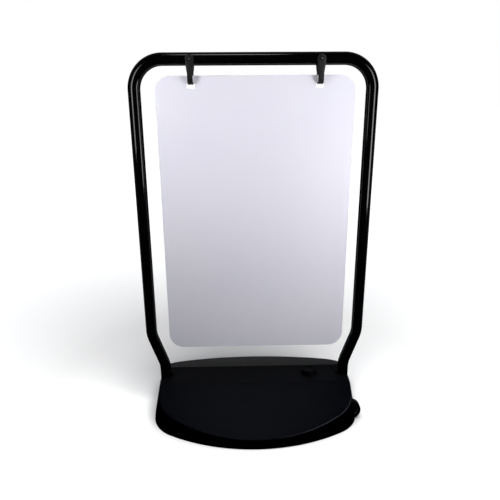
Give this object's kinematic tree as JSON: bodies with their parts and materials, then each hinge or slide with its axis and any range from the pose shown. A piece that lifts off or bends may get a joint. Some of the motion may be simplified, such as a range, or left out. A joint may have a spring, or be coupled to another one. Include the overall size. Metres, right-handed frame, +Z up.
{
  "type": "swinging pavement sign",
  "caption": "Free-standing pavement sign: a blank panel hangs from two straps inside a tube hoop that stands in a hollow ballast base with transport wheels.",
  "frame": {"origin": "middle of the base's underside, on the ground", "axes": "+X to the right as seen from the front, +Y to the rear, +Z up"},
  "size_m": [0.762, 0.54, 1.2068],
  "materials": {
    "tank_plastic": "satin moulded polyethylene",
    "tube_paint": "gloss powder coat",
    "strap_plastic": "matte flexible plastic",
    "panel_face": "satin white sheet",
    "cap_plastic": "satin moulded polypropylene",
    "wheel_plastic": "satin moulded nylon",
    "seal_rubber": "matte",
    "plug_plastic": "matte",
    "black_steel": "black oxide",
    "zinc_steel": "zinc plated"
  },
  "bodies": {
    "base": {"base_tank": "tank_plastic", "frame_tube": "tube_paint", "axle_washers": "zinc_steel", "wheel_axle_front": "zinc_steel", "wheel_axle_rear": "zinc_steel", "leg_plug_left": "plug_plastic", "leg_plug_right": "plug_plastic", "foot_bolt_left": "zinc_steel", "foot_bolt_right": "zinc_steel", "foot_washer_left": "zinc_steel", "foot_washer_right": "zinc_steel", "stop_screw_left": "black_steel", "stop_screw_right": "black_steel", "hanger_left": "strap_plastic", "hanger_right": "strap_plastic", "hanger_bolt_left": "black_steel", "hanger_bolt_right": "black_steel", "hanger_washer_left": "black_steel", "hanger_washer_right": "black_steel", "hanger_nut_left": "black_steel", "hanger_nut_right": "black_steel"},
    "panel": {"sign_panel": "panel_face"},
    "front_wheel": {"wheel_front": "wheel_plastic"},
    "rear_wheel": {"wheel_rear": "wheel_plastic"},
    "seal": {"cap_seal": "seal_rubber"},
    "cap": {"filler_cap": "cap_plastic"}
  },
  "joints": [
    {"name": "panel_swing", "type": "hinge", "parent": "base", "child": "panel", "pos_m": [0.0055, 0, 1.1197], "axis": [1, 0, 0], "range_deg": [-40, 40]},
    {"name": "front_wheel_spin", "type": "hinge", "parent": "base", "child": "front_wheel", "pos_m": [0.328, -0.115, 0.037], "axis": [0, 1, 0], "continuous": true},
    {"name": "rear_wheel_spin", "type": "hinge", "parent": "base", "child": "rear_wheel", "pos_m": [0.328, 0.115, 0.037], "axis": [0, 1, 0], "continuous": true},
    {"name": "cap_lift", "type": "slide", "parent": "base", "child": "seal", "axis": [0, 0, 1], "range_m": [0, 0.01]},
    {"name": "cap_turn", "type": "hinge", "parent": "seal", "child": "cap", "pos_m": [0.197, 0, 0.12], "axis": [0, 0, 1], "range_deg": [0, 900]}
  ],
  "couplings": [
    {"joint": "cap_lift", "follows": "cap_turn", "m_per_rad": 0.00063662}
  ]
}
